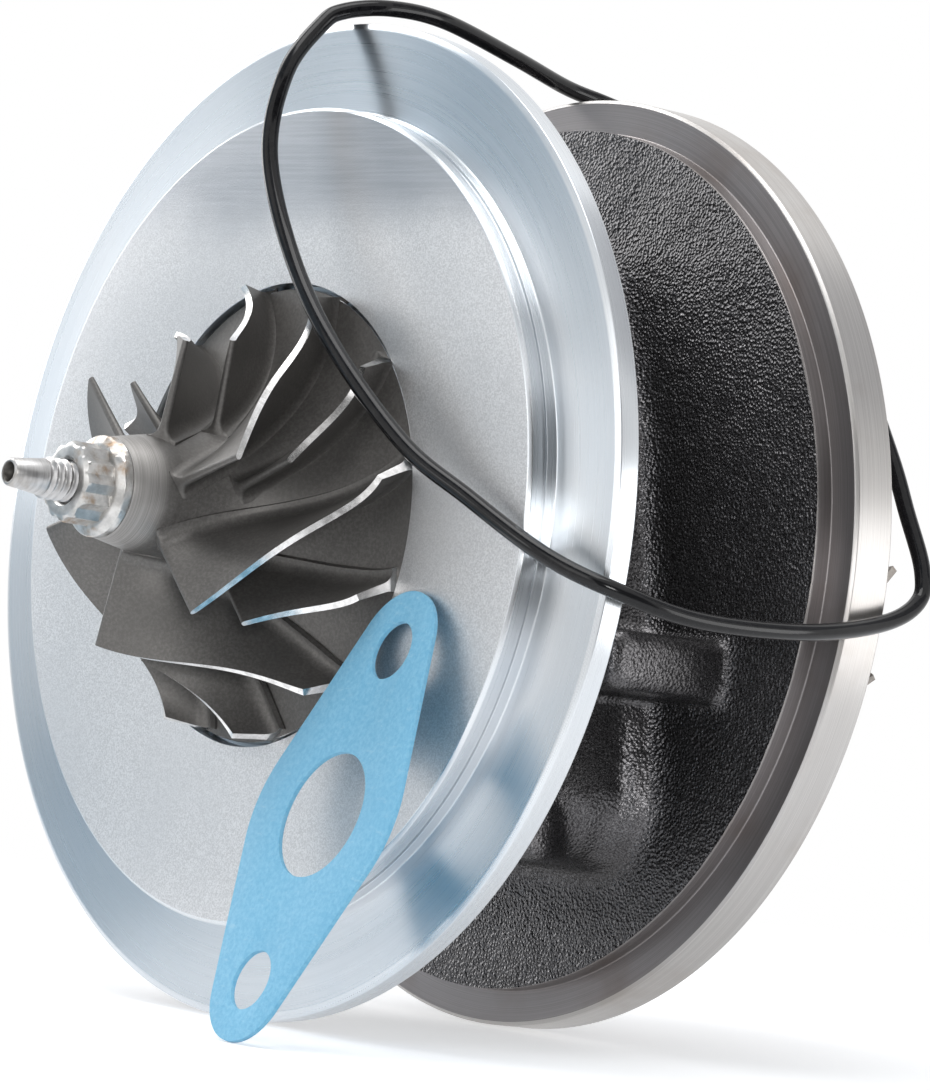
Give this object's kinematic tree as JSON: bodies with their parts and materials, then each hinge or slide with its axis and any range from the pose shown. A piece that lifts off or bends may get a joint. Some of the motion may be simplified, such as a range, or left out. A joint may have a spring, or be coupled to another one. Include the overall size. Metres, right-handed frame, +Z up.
{
  "type": "turbocharger cartridge",
  "caption": "Turbocharger centre cartridge: bladed compressor wheel on a round backplate, cast bearing housing with turbine wheel, loose rubber cover ring and leaning drain gasket.",
  "frame": {"origin": "on the shaft's axis, in the plane of the backplate's front flange face", "axes": "+Y along the shaft from the compressor to the turbine, +Z up towards the oil inlet, +X to the right when looking from the compressor end"},
  "size_m": [0.1567, 0.1526, 0.1566],
  "materials": {
    "plate_aluminium": "turned, land fine blasted",
    "wheel_aluminium": "cast, edges machined",
    "housing_iron": "raw cast with machined flange",
    "nut_steel": "plated",
    "shaft_steel": "ground",
    "turbine_alloy": "cast, heat tinted",
    "ring_steel": "phosphated",
    "bronze": "machined bronze",
    "pin_steel": "ground",
    "sheet_steel": "pressed sheet",
    "screw_steel": "plated",
    "black_rubber": "smooth, slightly glossy",
    "gasket_fibre": "blue pressed fibre"
  },
  "bodies": {
    "housing": {"compressor_backplate": "plate_aluminium", "bearing_housing": "housing_iron", "compressor_seal_ring": "ring_steel", "thrust_bearing": "bronze", "thrust_pins": "pin_steel", "oil_deflector": "sheet_steel", "bearing_spacer": "shaft_steel", "snap_rings": "ring_steel", "turbine_seal_ring": "ring_steel", "heat_shield": "sheet_steel", "backplate_screws": "screw_steel", "backplate_washers": "screw_steel", "backplate_seal": "black_rubber", "turbine_dowel": "pin_steel"},
    "rotor": {"compressor_wheel": "wheel_aluminium", "shaft_nut": "nut_steel", "rotor_shaft": "shaft_steel", "turbine_wheel": "turbine_alloy", "seal_sleeve": "shaft_steel", "thrust_collar": "shaft_steel"},
    "front_bush": {"compressor_bush": "bronze"},
    "rear_bush": {"turbine_bush": "bronze"},
    "cover_ring": {"cover_seal_ring": "black_rubber"},
    "gasket": {"drain_gasket": "gasket_fibre"}
  },
  "joints": [
    {"name": "rotor_spin", "type": "hinge", "parent": "housing", "child": "rotor", "pos_m": [0, 0, 0], "axis": [0, 1, 0], "continuous": true},
    {"name": "front_bush_spin", "type": "hinge", "parent": "housing", "child": "front_bush", "pos_m": [0, 0.023, 0], "axis": [0, 1, 0], "continuous": true},
    {"name": "rear_bush_spin", "type": "hinge", "parent": "housing", "child": "rear_bush", "pos_m": [0, 0.042, 0], "axis": [0, 1, 0], "continuous": true},
    {"name": "cover_ring_lift", "type": "slide", "parent": "housing", "child": "cover_ring", "axis": [0.7071, 0, 0.7071], "range_m": [0, 0.2]},
    {"name": "gasket_slide", "type": "slide", "parent": "housing", "child": "gasket", "axis": [0.8, -0.6, 0], "range_m": [0, 0.2]}
  ]
}
